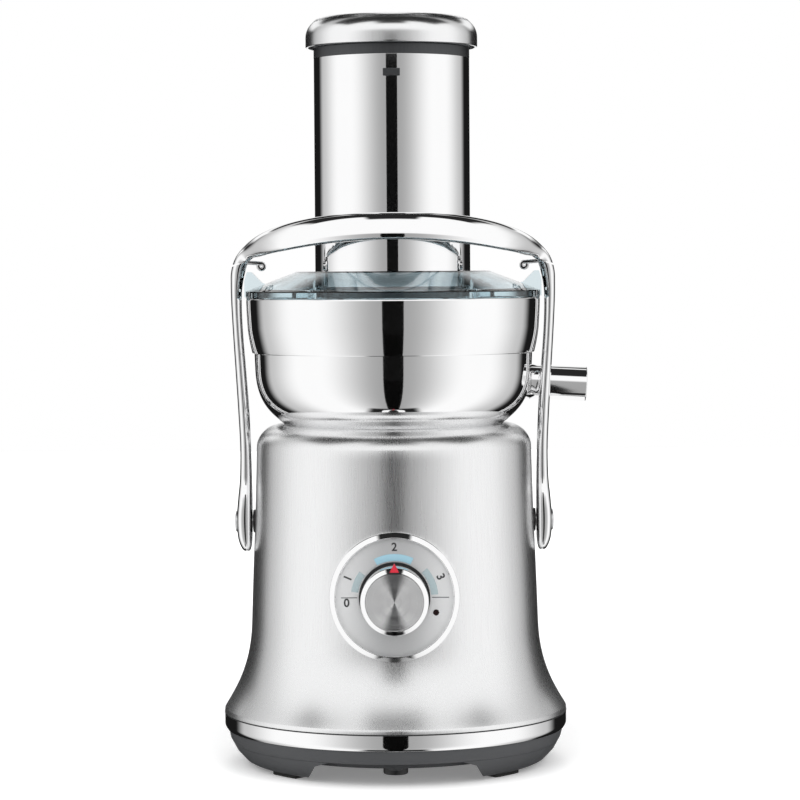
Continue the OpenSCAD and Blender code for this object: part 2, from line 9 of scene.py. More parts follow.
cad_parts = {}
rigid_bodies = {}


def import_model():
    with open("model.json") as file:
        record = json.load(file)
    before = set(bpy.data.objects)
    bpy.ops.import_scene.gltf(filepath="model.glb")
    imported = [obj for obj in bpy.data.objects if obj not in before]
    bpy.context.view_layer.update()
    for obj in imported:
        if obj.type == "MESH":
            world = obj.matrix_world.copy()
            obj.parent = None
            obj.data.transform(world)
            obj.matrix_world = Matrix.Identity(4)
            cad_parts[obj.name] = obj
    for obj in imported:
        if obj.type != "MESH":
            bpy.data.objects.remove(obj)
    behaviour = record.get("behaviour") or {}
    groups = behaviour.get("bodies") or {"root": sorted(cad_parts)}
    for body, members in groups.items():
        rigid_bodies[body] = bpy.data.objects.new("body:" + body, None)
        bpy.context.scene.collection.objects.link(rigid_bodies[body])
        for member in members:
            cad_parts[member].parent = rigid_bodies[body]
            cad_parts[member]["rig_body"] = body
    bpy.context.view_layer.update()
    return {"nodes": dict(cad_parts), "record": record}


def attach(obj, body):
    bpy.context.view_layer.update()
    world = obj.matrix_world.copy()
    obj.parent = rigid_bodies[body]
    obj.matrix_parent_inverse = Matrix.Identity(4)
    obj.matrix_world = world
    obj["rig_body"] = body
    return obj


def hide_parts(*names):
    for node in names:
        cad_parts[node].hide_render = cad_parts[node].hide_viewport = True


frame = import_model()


# ---------------------------------------------------------------- camera and studio
# A long lens just above the level of the bowl looks very slightly down. The studio is white, with
# dark gaps in front, overhead, below and behind at both sides, which polished steel needs for its shape.
class Value:
    """A shader socket. Arithmetic on it adds Math nodes, and either side may be a plain number."""

    def __init__(self, tree, socket):
        self.tree, self.socket = tree, socket

    def math(self, operation, *items):
        sockets = dict(zip(("Value", "Value_001", "Value_002"), items))
        return self.tree.node("Math", {"operation": operation}, sockets)["Value"]

    def __add__(self, other):
        return self.math("ADD", self, other)

    def __sub__(self, other):
        return self.math("SUBTRACT", self, other)

    def __rsub__(self, other):
        return self.math("SUBTRACT", other, self)

    def __mul__(self, other):
        return self.math("MULTIPLY", self, other)

    def __truediv__(self, other):
        return self.math("DIVIDE", self, other)

    def __rtruediv__(self, other):
        return self.math("DIVIDE", other, self)

    __radd__, __rmul__ = __add__, __mul__

    def step(self, start, end, first=0.0, last=1.0):
        """Goes smoothly from first to last while this value goes from start to end."""
        return self.tree.node("MapRange", {"interpolation_type": "SMOOTHSTEP"}, {
            "Value": self, "From Min": start, "From Max": end, "To Min": first, "To Max": last})["Result"]


class Nodes:
    """The node tree of the world or of a material."""

    def __init__(self, owner):
        owner.use_nodes = True
        self.owner, self.tree = owner, owner.node_tree

    def fill(self, made, sockets):
        for name, value in sockets.items():
            socket = next(s for s in made.inputs if s.identifier == name)
            if isinstance(value, Value):
                self.tree.links.new(value.socket, socket)
            else:
                socket.default_value = value

    def node(self, kind, settings={}, sockets={}):
        """Adds one node and returns its outputs by name."""
        made = self.tree.nodes.new("ShaderNode" + kind)
        for name, value in settings.items():
            setattr(made, name, value)
        self.fill(made, sockets)
        return {s.identifier: Value(self, s) for s in made.outputs}

    def split(self, vector):
        parts = self.node("SeparateXYZ", {}, {"Vector": vector})
        return parts["X"], parts["Y"], parts["Z"]

    def colour(self, factor, first, last):
        """A mix of two colours by a factor."""
        sockets = {"Factor_Float": factor, "A_Color": first, "B_Color": last}
        return self.node("Mix", {"data_type": "RGBA"}, sockets)["Result_Color"]


scene = bpy.context.scene
scene.view_settings.view_transform = "Standard"
camera = bpy.data.objects.new("camera", bpy.data.cameras.new("camera"))
scene.collection.objects.link(camera)
scene.camera = camera
camera.data.lens = 128.7
camera.data.sensor_width = 36
camera.location = (0.0043, -1.716, 0.294)
camera.rotation_euler = (math.radians(90 - 2.56), math.radians(0.37), 0)

world = Nodes(bpy.data.worlds.new("studio"))
scene.world = world.owner
across, along, up = world.split(world.node("TexCoord")["Generated"])
side = across.math("ABSOLUTE", across)
azimuth = side.math("ARCTAN2", side, along * -1) * 57.3
pitch = up.math("ARCTAN2", up, along * -1) * 57.3
behind = azimuth.step(84, 124, 0, 0.45) + azimuth.step(121, 136, 0, 0.54) - azimuth.step(170, 174, 0, 0.98)
levels = up.step(0.18, 0.32, 1, 0) + up.step(0.46, 0.56) * up.step(0.84, 0.92, 1, 0)
levels = levels.math("MAXIMUM", levels, side.step(0.62, 0.76))
walls = 1 - azimuth.step(8, 64, 0.62, 0) * pitch.step(8, 20, 1, 0) - behind * levels
wide = side.step(0.7, 0.8, 1, 0) * pitch.step(64, 69) * pitch.step(104, 112, 1, 0)
narrow = side.step(0.22, 0.30, 1, 0) * pitch.step(46, 52) * pitch.step(72, 78, 1, 0)
ceiling = wide.math("MAXIMUM", wide, narrow)
ground = side.step(0.20, 0.30, 1, 0) * pitch.step(-68, -64, 1, 0) * pitch.step(-86, -80)
tone = walls * (1 - ceiling * 0.98) * (1 - ground * 0.97)
seen = world.node("LightPath")["Is Camera Ray"]
shade = world.colour(seen, world.colour(tone, (0, 0, 0, 1), (1, 1, 1, 1)), (1, 1, 1, 1))
world.fill(world.tree.nodes["Background"], {"Color": shade, "Strength": 1.0})

skylight = bpy.data.objects.new("skylight", bpy.data.lights.new("skylight", "SUN"))
scene.collection.objects.link(skylight)
skylight.data.energy = 2.4
skylight.data.angle = math.radians(100)
skylight.rotation_euler = (math.radians(12), 0, 0)
skylight.visible_glossy = False


class Look(Nodes):
    """A material made of one Principled shader. Its fixed sockets come in as a dictionary."""

    def __init__(self, name, sockets):
        super().__init__(bpy.data.materials.new(name))
        self.surface = self.tree.nodes["Principled BSDF"]
        self.fill(self.surface, sockets)
        self.place = self.node("TexCoord")["Object"]

    def vary(self, sockets):
        self.fill(self.surface, sockets)

    def noise(self, scale, stretch=(1, 1, 1), detail=2.0):
        """Smooth noise from 0 to 1, with scale cells to a metre, multiplied along each axis."""
        sockets = {"Vector": self.place, "Vector_001": stretch}
        place = self.node("VectorMath", {"operation": "MULTIPLY"}, sockets)
        return self.node("TexNoise", {}, {"Vector": place["Vector"], "Scale": scale, "Detail": detail})["Fac"]

    def bump(self, height, depth, strength=1.0):
        """Raises the surface by height times depth, in metres."""
        sockets = {"Height": height, "Distance": depth, "Strength": strength}
        self.vary({"Normal": self.node("Bump", {}, sockets)["Normal"]})


half = 3.0
floor_mesh = bpy.data.meshes.new("floor")
floor_mesh.from_pydata([(-half, -half, 0), (half, -half, 0), (half, half, 0), (-half, half, 0)], [],
                       [(0, 1, 2, 3)])
floor = bpy.data.objects.new("floor", floor_mesh)
scene.collection.objects.link(floor)
paper = Look("floor_paper", {"Roughness": 0.9, "Specular IOR Level": 0.0, "Emission Color": (1, 1, 1, 1),
                             "Emission Strength": 0.2})
paper.vary({"Base Color": paper.colour(paper.noise(40), (0.95, 0.95, 0.95, 1), (0.98, 0.98, 0.98, 1))})
floor.data.materials.append(paper.owner)
floor.visible_glossy = False

felt = Look("black_felt", {"Roughness": 1.0, "Specular IOR Level": 0.0})
felt.vary({"Base Color": felt.colour(felt.noise(90), (0.004, 0.004, 0.004, 1), (0.008, 0.008, 0.008, 1))})
card_mesh = bpy.data.meshes.new("front_card")
card_mesh.from_pydata([(-0.14, -1, -3), (0.14, -1, -3), (0.14, -1, 0.5), (-0.14, -1, 0.5)], [], [(0, 1, 2, 3)])
card = bpy.data.objects.new("front_card", card_mesh)
scene.collection.objects.link(card)
card_mesh.materials.append(felt.owner)
card.visible_camera = card.visible_diffuse = card.visible_shadow = card.visible_transmission = False


# ---------------------------------------------------------------- foot and plinth
# A dark plastic moulding carries the whole machine. It is open at the front in a low arch, and it
# has four rubber pads, a bottom plate with cooling slots and a grommet for the mains lead.
def skin(name, grid, drop=None, ends=False, extra=(), smooth=32):
    """Joins a grid of points, in millimetres, into one mesh object.

    Columns always wrap round. Rows wrap round too, unless ends is true: then the first and the
    last row are closed with a flat face. drop marks faces to leave out, by row and column."""
    rows, columns = grid.shape[:2]
    index = np.arange(rows * columns).reshape(rows, columns)
    after = np.roll(index, -1, axis=0)
    faces = np.stack([index, after, np.roll(after, -1, axis=1), np.roll(index, -1, axis=1)], axis=2)
    keep = np.ones((rows, columns), bool) if drop is None else ~drop
    if ends:
        keep[-1] = False
        extra = list(extra) + [index[0].tolist(), index[-1][::-1].tolist()]
    work = bmesh.new()
    mesh = bpy.data.meshes.new(name)
    mesh.from_pydata(grid.reshape(-1, 3) * 0.001, [], faces[keep].tolist() + list(extra))
    work.from_mesh(mesh)
    bmesh.ops.remove_doubles(work, verts=work.verts, dist=2e-7)
    work.to_mesh(mesh)
    work.free()
    mesh.shade_smooth()
    mesh.set_sharp_from_angle(angle=math.radians(smooth))
    made = bpy.data.objects.new(name, mesh)
    scene.collection.objects.link(made)
    return made


def lathe(outline, angles=None, steps=240):
    """Grid of a closed outline of (radius, height) turned about Z: the point at angle a is
    (radius cos a, radius sin a, height). The outline runs anticlockwise, so faces look outwards."""
    outline = np.asarray(outline, float)
    onward = np.roll(outline, -1, axis=0)
    if np.sum(outline[:, 0] * onward[:, 1] - onward[:, 0] * outline[:, 1]) < 0:
        outline = outline[::-1]
    a = np.linspace(0, 2 * np.pi, steps, endpoint=False) if angles is None else angles
    radius, height = np.broadcast_arrays(outline[:, 0], outline[:, 1])
    return np.stack([np.outer(np.cos(a), radius), np.outer(np.sin(a), radius),
                     np.broadcast_to(height, (len(a), len(height)))], axis=2)


def rounded(corners, radii, steps=5):
    """Closed outline whose corners are each replaced by a parabola that starts and ends radii away."""
    corners = np.array(corners, float)
    radii = np.broadcast_to(radii, len(corners)).astype(float)[:, None]
    back, onward = np.roll(corners, 1, axis=0) - corners, np.roll(corners, -1, axis=0) - corners
    start = corners + back / np.linalg.norm(back, axis=1, keepdims=True) * radii
    end = corners + onward / np.linalg.norm(onward, axis=1, keepdims=True) * radii
    t = np.linspace(0, 1, steps + 1)[:, None, None]
    curve = (1 - t) ** 2 * start + 2 * t * (1 - t) * corners + t * t * end
    curve = np.concatenate([[start * 1.4 - corners * 0.4], curve, [end * 1.4 - corners * 0.4]])
    curve = curve.transpose(1, 0, 2).reshape(-1, 2)
    return curve[np.abs(curve - np.roll(curve, 1, axis=0)).sum(axis=1) > 1e-5]


def refined(node, width, smooth=30):
    """A copy of a CAD node with its faces joined up and its edges rounded, to be shown instead of it."""
    work = bmesh.new()
    work.from_mesh(frame["nodes"][node].data)
    bmesh.ops.remove_doubles(work, verts=work.verts, dist=2e-6)
    bmesh.ops.dissolve_limit(work, angle_limit=math.radians(0.4), verts=work.verts, edges=work.edges)
    mesh = bpy.data.meshes.new(node + "_rounded")
    work.to_mesh(mesh)
    work.free()
    for layer in [a for a in mesh.attributes if a.name in ("custom_normal", "sharp_edge", "sharp_face")]:
        mesh.attributes.remove(layer)
    mesh.shade_smooth()
    mesh.set_sharp_from_angle(angle=math.radians(smooth))
    made = bpy.data.objects.new(node + "_rounded", mesh)
    scene.collection.objects.link(made)
    if width:
        rim = made.modifiers.new("edges", "BEVEL")
        rim.width, rim.segments, rim.limit_method = width * 0.001, 3, "ANGLE"
        rim.angle_limit, rim.harden_normals = math.radians(smooth), True
    return made


slots = {part["node"]: part["material_slot"] for part in frame["record"]["subparts"]}


def show(piece, look, *nodes):
    """Gives a piece its material, and puts it in place of the CAD nodes it stands for."""
    piece.data.materials.clear()
    piece.data.materials.append(look.owner)
    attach(piece, frame["nodes"][nodes[0]]["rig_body"])
    for node in nodes:
        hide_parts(node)


def add(piece, look, body):
    """Gives an extra piece, which stands for no CAD node, its material and its body."""
    piece.data.materials.clear()
    piece.data.materials.append(look.owner)
    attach(piece, body)


plastic = Look("plinth_plastic", {"Roughness": 0.5, "Specular IOR Level": 0.4})
grain = plastic.noise(2600, detail=3.0)
cloudy = plastic.noise(30)
plastic.vary({"Base Color": plastic.colour(cloudy, (0.052, 0.054, 0.057, 1), (0.066, 0.068, 0.072, 1)),
              "Roughness": 0.46 + grain * 0.14})
plastic.bump(grain, 0.00012, 0.35)

black = Look("black_plastic", {"Specular IOR Level": 0.45})
grain = black.noise(3000, detail=3.0)
black.vary({"Base Color": black.colour(black.noise(60), (0.010, 0.010, 0.011, 1), (0.018, 0.018, 0.019, 1)),
            "Roughness": 0.34 + grain * 0.16})
black.bump(grain, 0.00008, 0.3)

rubber = Look("foot_rubber", {"Specular IOR Level": 0.3})
grain = rubber.noise(1800, detail=4.0)
rubber.vary({"Base Color": rubber.colour(grain, (0.012, 0.012, 0.012, 1), (0.026, 0.026, 0.025, 1)),
             "Roughness": 0.72 + grain * 0.2})
rubber.bump(grain, 0.00015, 0.5)

show(refined("plinth", 0.5), plastic, "plinth")
show(refined("foot_ring", 0.6), plastic, "foot_ring")
show(refined("bottom_plate", 0.4), plastic, "bottom_plate")
show(refined("rubber_feet", 0.3), rubber, "rubber_feet")
show(refined("cord_gland", 0.4), black, "cord_gland")
boss = lathe(rounded([(0, 3.4), (7.2, 3.4), (7.2, 8.2), (0, 8.2)], [0, 1.2, 0.1, 0], 5), steps=72)
add(skin("front_boss", boss + np.array([0, -68, 0])), black, "base")


# ---------------------------------------------------------------- housing
# The motor housing is one spun sheet of stainless steel, brushed from top to bottom. It flares out
# at the foot, where it ends in a polished ring, and it rolls over at the shoulder under the bowl.
def bezier(a, b, c, d, steps):
    """Points of a cubic curve with those four handles."""
    t = np.linspace(0, 1, steps + 1)[:, None]
    a, b, c, d = (np.array(p, float) for p in (a, b, c, d))
    return (1 - t) ** 3 * a + 3 * t * (1 - t) ** 2 * b + 3 * t * t * (1 - t) * c + t ** 3 * d


def punch(grid, axis, centre, radius, side):
    """Pushes the points of a grid that lie in a round hole out to the hole's edge.

    axis names the coordinate the hole runs along, and side picks the half of the object. Returns
    the grid and the faces all of whose corners were in the hole."""
    other = [i for i in range(3) if i != axis]
    offset = grid[:, :, other] - np.array(centre)
    distance = np.linalg.norm(offset, axis=2)
    inside = (distance < radius) & (grid[:, :, axis] * side > 0)
    scale = np.where(inside, radius / np.maximum(distance, 1e-6), 1.0)[:, :, None]
    grid = grid.copy()
    grid[:, :, other] = np.array(centre) + offset * scale
    after = np.roll(inside, -1, axis=0)
    return grid, inside & after & np.roll(inside, -1, axis=1) & np.roll(after, -1, axis=1)


def housing_side(t):
    """The housing's outline from the lip to the flat top, moved inwards by t millimetres."""
    bend = np.radians(np.linspace(12, 90, 15))[:, None]
    return np.concatenate([
        bezier((102.6 - t, 33.5), (97.8 - t, 42), (87.5 - t, 56), (86.2 - t, 82), 44),
        bezier((86.0 - t, 86.5), (84.9 - t, 120), (82.9 - t, 160), (82.5 - t, 186), 44),
        np.concatenate([67.5 + (15 - t) * np.cos(bend), 188.4 + (15 - t) * np.sin(bend)], axis=1)])


brushed = Look("brushed_housing", {"Metallic": 1.0})
streaks = brushed.noise(1500, (1, 1, 0.012), 3.0)
broad = brushed.noise(70, (1, 1, 0.05), 2.0)
brushed.vary({"Base Color": brushed.colour(streaks, (0.84, 0.843, 0.847, 1), (0.97, 0.972, 0.975, 1)),
              "Roughness": 0.22 + streaks * 0.08 + broad * 0.04})
brushed.bump(streaks, 0.00003, 0.5)

chrome = Look("polished_steel", {"Metallic": 1.0})
haze = chrome.noise(24, detail=3.0)
chrome.vary({"Base Color": chrome.colour(haze, (0.95, 0.95, 0.953, 1), (0.985, 0.985, 0.987, 1)),
             "Roughness": 0.03 + haze * 0.03})

dial_z, pivot_z, sheet = 108.2, 145, 1.2
angles = np.linspace(0, 2 * np.pi, 320, endpoint=False)
outer, inner = housing_side(0), housing_side(sheet)[::2]
shell = lathe(np.concatenate([[(102.6, 31.3), (102.3, 31.0), (101.6, 31.0), (101.4, 31.3)][::-1], outer,
                              [(62, 203.4), (62, 202.2)], inner[::-1]]), angles)
shell, hole = punch(shell, 1, (0, dial_z), 35.6, -1)
for side in (-1, 1):
    shell, bush_hole = punch(shell, 0, (0, pivot_z), 5.6, side)
    hole = hole | bush_hole
show(skin("housing", shell, hole), brushed, "base_shell")

ring = rounded([(97, 21.5), (101.5, 21.5), (102.7, 23.6), (102.75, 31.0), (97, 31.0)],
               [0.2, 0.5, 1.0, 0.3, 0.2], 7)
show(skin("foot_trim", lathe(ring, steps=320)), chrome, "base_ring")
# A thin black band over the trim ring is painted shade: it stands for the shadow in the gap between the housing
# and the ring.
shadow_gap_band = rounded([(100, 30.7), (102.85, 30.7), (102.85, 31.5), (100, 31.5)], 0.15, 3)
add(skin("foot_shadow_gap", lathe(shadow_gap_band, steps=320)), black, "base")


# ---------------------------------------------------------------- speed dial
# The dial stands in a polished ring that is let into the housing. Its satin face has three curved
# windows that light up for the three speeds, a dark overload lamp, marks and a spun metal knob.
def to_dial(grid):
    """Lays a turned grid on the dial's axis: what was up now points out to the front."""
    return np.stack([grid[:, :, 0], -grid[:, :, 2], grid[:, :, 1] + dial_z], axis=2)


bezel = rounded([(33.7, 87.9), (34.2, 87.9), (34.2, 75), (37.4, 75), (37.4, 88.3), (34.2, 90.4), (33.7, 89.6)],
                [0.1, 0.1, 0.1, 0.1, 0.5, 0.35, 0.2], 6)
show(skin("dial_ring", to_dial(lathe(bezel, steps=240))), chrome, "dial_bezel")

satin = Look("satin_face", {"Metallic": 0.5, "Specular IOR Level": 0.5})
fine = satin.noise(2200, (1, 1, 1), 3.0)
x, y, z = satin.split(satin.place)
# Painted reflection of the round brushing: the base colour is lighter at both sides of the knob than over and
# under it.
painted_sheen_and_grain = x.math("ABSOLUTE", x).step(0.003, 0.032) * 0.8 + fine * 0.2
satin.vary({"Base Color": satin.colour(painted_sheen_and_grain, (0.52, 0.525, 0.53, 1), (0.93, 0.935, 0.94, 1)),
            "Roughness": 0.42 + fine * 0.12})
satin.bump(fine, 0.00002, 0.3)
show(refined("dial_face", 0.12), satin, "dial_face")

lens = Look("speed_windows", {"Roughness": 0.25, "Emission Strength": 1.0})
x, y, z = lens.split(lens.place)
middle = z.step(dial_z * 0.001 + 0.0175, dial_z * 0.001 + 0.0185)
cells = lens.noise(900, detail=1.0)
dim = lens.colour(cells, (0.36, 0.44, 0.46, 1), (0.42, 0.50, 0.52, 1))
glow = middle * (0.85 + cells * 0.3)
lens.vary({"Base Color": lens.colour(middle, dim, (0.34, 0.50, 0.57, 1)),
           "Emission Color": lens.colour(glow, (0.01, 0.015, 0.017, 1), (0.02, 0.09, 0.13, 1))})
show(refined("speed_lights", 0.1), lens, "speed_lights")

lamp = Look("overload_lamp", {"Roughness": 0.2, "Coat Weight": 0.4})
lamp.vary({"Base Color": lamp.colour(lamp.noise(1200), (0.012, 0.006, 0.006, 1), (0.022, 0.010, 0.010, 1))})
show(refined("overload_lamp", 0.3), lamp, "overload_lamp")

# Printed marks: a numeral for each setting, and a line at each side.
ink = Look("dial_ink", {"Specular IOR Level": 0.3})
ink.vary({"Base Color": ink.colour(ink.noise(800), (0.035, 0.035, 0.037, 1), (0.055, 0.055, 0.058, 1)),
          "Roughness": 0.5 + ink.noise(2000) * 0.1})
for text, turn, out in (("0", 186.5, 27.6), ("1", 157, 28.8), ("2", 90, 28.8), ("3", 24, 28.8)):
    curve = bpy.data.curves.new("mark_" + text, "FONT")
    curve.body, curve.size, curve.extrude, curve.offset = text, 0.0066, 0.00006, 0.00014
    curve.align_x, curve.align_y = "CENTER", "CENTER"
    drawn = bpy.data.objects.new("mark_" + text, curve)
    scene.collection.objects.link(drawn)
    bpy.context.view_layer.update()
    mesh = bpy.data.meshes.new_from_object(drawn.evaluated_get(bpy.context.evaluated_depsgraph_get()))
    bpy.data.objects.remove(drawn)
    a = math.radians(turn)
    tilt = 0 if text == "0" else a - math.pi / 2
    spot = (out * math.cos(a) * 0.001, -0.08806, (dial_z + out * math.sin(a)) * 0.001)
    mesh.transform(Matrix.Translation(spot) @ Matrix.Rotation(-tilt, 4, "Y")
                   @ Matrix.Rotation(math.pi / 2, 4, "X"))
    mark = bpy.data.objects.new("dial_mark_" + text, mesh)
    scene.collection.objects.link(mark)
    add(mark, ink, "base")
for name, low, high in (("left", -30.6, -21.4), ("right", 21.4, 31.2)):
    box = np.array([[(x, y, z) for x, z in ((low, 108.0), (high, 108.0), (high, 108.4), (low, 108.4))]
                    for y in (-88.12, -87.9)])
    add(skin("dial_line_" + name, box, ends=True), ink, "base")

# The knob is a turned cap. Fine rings on its face spread reflections outwards from the centre.
spun = Look("spun_knob", {"Metallic": 1.0})
x, y, z = spun.split(spun.place)
height = z - dial_z * 0.001
radius = x.math("SQRT", x * x + height * height)
on_face = radius.step(0.0161, 0.0165, 1, 0) * y.step(-0.1115, -0.111, 1, 0)
number = radius.math("FLOOR", radius * 60000)
rings = spun.node("TexWhiteNoise", {"noise_dimensions": "1D"}, {"W": number})["Value"]
# Painted reflection: a mask for the parts of the knob's face over and under its centre.
painted_wedge_mask = x.math("ABSOLUTE", x / (radius + 1e-5)).step(0.12, 0.58, 1, 0)
lean = (rings - 0.5) * 0.4 + rings.math("SIGN", rings - 0.5) * 0.18
safe = radius + 1e-5
outward = spun.node("CombineXYZ", {}, {"X": x / safe, "Y": 0.0, "Z": height / safe})["Vector"]
to_world = {"vector_type": "VECTOR", "convert_from": "OBJECT", "convert_to": "WORLD"}
outward = spun.node("VectorTransform", to_world, {"Vector": outward})["Vector"]
spread = spun.node("VectorMath", {"operation": "SCALE"}, {"Vector": outward, "Scale": lean * on_face})
bent = spun.node("VectorMath", {"operation": "ADD"},
                 {"Vector": spun.node("NewGeometry")["Normal"], "Vector_001": spread["Vector"]})
bent = spun.node("VectorMath", {"operation": "NORMALIZE"}, {"Vector": bent["Vector"]})["Vector"]
# The face's base colour is darker overall and varies ring by ring, with painted dark reflection wedges over and
# under the centre; they turn with the knob.
face_tone_and_painted_wedges = on_face * (0.25 + rings * 0.2 + painted_wedge_mask * 0.55)
spun.vary({"Normal": bent, "Roughness": 0.05 + on_face * 0.12,
           "Base Color": spun.colour(face_tone_and_painted_wedges, (0.97, 0.97, 0.972, 1), (0.26, 0.26, 0.265, 1))})
cap = rounded([(17.9, 90), (19.4, 90), (19.4, 111.1), (16.6, 112.9), (16.2, 112.75), (0, 112.6), (0, 111.4),
               (16.4, 111.4), (17.9, 109.4)], [0.2, 0.3, 0.6, 0.4, 0.2, 0, 0, 0.2, 0.4], 7)
show(skin("knob", to_dial(lathe(cap, steps=200))), spun, "dial_knob")
show(refined("dial_core", 0.3), black, "dial_core")

red = Look("red_insert", {"Roughness": 0.35, "Coat Weight": 0.2})
red.vary({"Base Color": red.colour(red.noise(900), (0.50, 0.012, 0.03, 1), (0.62, 0.022, 0.045, 1))})
# The red pointer lies on a black wedge that is painted shade and reflection: it fills in the dark patch under
# the pointer at the top of the knob's face.
pointer = [(-2.7, 16.9), (2.7, 16.9), (0, 22.0)]
painted_shade_patch = [(-4.4, 15.9), (4.4, 15.9), (2.6, 18.0), (-2.6, 18.0)]
for name, look, front, corners in (("pointer", red, -113.15, pointer), ("pointer_painted_shade", black, -113.05, painted_shade_patch)):
    wedge = np.array([[(x, y, z + dial_z) for x, z in rounded(corners, 0.35, 4)] for y in (front, -110.6)])
    made = skin(name, wedge, ends=True)
    if name == "pointer":
        show(made, look, "dial_pointer")
    else:
        add(made, look, "speed_dial")
show(refined("pivot_bushes", 0.5), black, "pivot_bushes")


# ---------------------------------------------------------------- filter bowl
# The bowl is polished steel in two bands: a curved lower one and a slightly wider collar over it.
# A way for the pulp is cut in its back, and the juice spout is welded on at the right.
def notched(outline, angles, start, end, level):
    """Faces to drop, and faces to add, where part of a turned wall is cut away above a level.

    The wall goes between angles start and end. Its cut edges are closed below and at both sides."""
    outline = lathe(outline, np.zeros(1))[0][:, [0, 2]]
    columns = len(outline)
    above = (outline[:, 1] > level - 1e-6) & (np.roll(outline[:, 1], -1) > level - 1e-6)
    between = (angles > start - 1e-6) & (angles < end - 1e-6)
    first, last = np.flatnonzero(between)[0], np.flatnonzero(between)[-1] + 1
    shift = next(j for j in range(columns) if above[j] and not above[j - 1])
    run = [(shift + j) % columns for j in range(int(above.sum()) + 1)]
    low, high = run[0], run[-1]
    extra = [[i * columns + low, (i + 1) * columns + low, (i + 1) * columns + high, i * columns + high]
             for i in range(first, last)]
    extra.append([first * columns + j for j in run][::-1])
    extra.append([last * columns + j for j in run])
    return np.outer(between, above), extra


def bowl_side(t):
    """The bowl's curved side from its foot to the straight wall, moved inwards by t millimetres."""
    return bezier((65.4 - t, 203.4), (75 - t, 210.6), (82.2 - t, 218), (82.9 - t, 236), 56)


notch_z = 261.6
half = math.asin(52.3 / 83.3)
angles = np.linspace(0, 2 * np.pi, 300, endpoint=False)
angles = np.sort(np.append(angles, [np.pi / 2 - half, np.pi / 2 + half]))
inner = bowl_side(1)
outline = np.concatenate([
    [(30, 222), (30, 203.4)], bowl_side(0), [(83.3, 246), (83.3, notch_z), (83.3, 270.6), (82.3, 270.6),
                                             (82.3, notch_z), (82.3, 246)],
    inner[inner[:, 1] > 204.6][::-1], [(66.6, 204.4), (31, 204.4), (31, 222)]])
grid = lathe(outline, angles)
drop, extra = notched(outline, angles, np.pi / 2 - half, np.pi / 2 + half, notch_z)
spout_turn, spout_root = math.radians(3), np.array([72, 22, 227.8])
line = grid - spout_root
forward = np.array([math.cos(spout_turn), 0, -math.sin(spout_turn)])
distance = line @ forward
radial = line - distance[:, :, None] * forward
away = np.linalg.norm(radial, axis=2)
inside = (away < 9.6) & (grid[:, :, 0] > 40)
grid = np.where(inside[:, :, None], grid + radial * (9.6 / np.maximum(away, 1e-6) - 1)[:, :, None], grid)
after = np.roll(inside, -1, axis=0)
drop = drop | (inside & after & np.roll(inside, -1, axis=1) & np.roll(after, -1, axis=1))
show(skin("bowl", grid, drop, extra=extra), chrome, "bowl_shell")

outline = np.concatenate([
    [(83.3, 246.7), (83.6, 246.1), (84.1, 245.95), (84.55, 246.25)],
    bezier((84.75, 246.9), (86.2, 253), (87.0, 258), (87.25, notch_z), 16),
    bezier((87.3, 262.6), (87.6, 267), (87.9, 272), (88.0, 277.4), 12),
    [(87.96, 278.1), (87.7, 278.5), (87.3, 278.6), (86.2, 278.6), (86, 278.4), (86, 270.7), (83.4, 270.6),
     (83.3, notch_z)]])
drop, extra = notched(outline, angles, np.pi / 2 - half, np.pi / 2 + half, notch_z)
show(skin("bowl_band", lathe(outline, angles), drop, extra=extra), chrome, "bowl_collar")

grey = Look("grey_plastic", {"Specular IOR Level": 0.4})
grain = grey.noise(2400, detail=3.0)
grey.vary({"Base Color": grey.colour(grey.noise(40), (0.10, 0.105, 0.11, 1), (0.13, 0.135, 0.14, 1)),
           "Roughness": 0.4 + grain * 0.15})
grey.bump(grain, 0.00006, 0.3)
show(refined("juice_tray", 0.3), grey, "juice_tray")

length = 45 / math.cos(spout_turn)
tube = rounded([(8.9, 1), (11.0, 1), (11.0, 9.0), (10.5, 13.0), (10.5, length), (8.9, length)],
               [0.2, 0.2, 2.4, 1.6, 0.6, 0.6], 7)
grid = lathe(tube, steps=128)
sideways = np.array([forward[2] * -1, 0, forward[0]])
grid = (spout_root + grid[:, :, 2:] * forward + grid[:, :, 1:2] * np.array([0, 1, 0])
        + grid[:, :, :1] * -sideways)
show(skin("spout", grid), chrome, "spout_tube")


# ---------------------------------------------------------------- lid and feed chute
# The lid is clear plastic with a smoky blue tint, with ears that the arm hooks over and a hood at
# the back over the container. A polished sleeve covers the chute, and a dark collar ends it.
def dress(look, *nodes):
    """Gives CAD nodes that are shown as they are their material."""
    for node in nodes:
        data = frame["nodes"][node].data
        data.materials.clear()
        data.materials.append(look.owner)


clear = Look("smoked_clear", {"Transmission Weight": 1.0, "IOR": 1.49})
cloud = clear.noise(30, detail=2.0)
clear.vary({"Base Color": clear.colour(cloud, (0.70, 0.80, 0.84, 1), (0.76, 0.85, 0.88, 1)),
            "Roughness": 0.01 + cloud * 0.03})
dress(clear, "lid")
sleeve = rounded([(46.05, 284), (46.5, 284), (46.5, 421.2), (46.05, 421.2)], 0.1, 3)
show(skin("chute_cover", lathe(sleeve, steps=256)), chrome, "chute_sleeve")

band = Look("dark_band", {"Metallic": 0.8})
fine = band.noise(1800, (1, 1, 0.05), 3.0)
band.vary({"Base Color": band.colour(fine, (0.060, 0.062, 0.065, 1), (0.090, 0.093, 0.097, 1)),
           "Roughness": 0.3 + fine * 0.1})
show(refined("chute_collar", 0.35), band, "chute_collar")


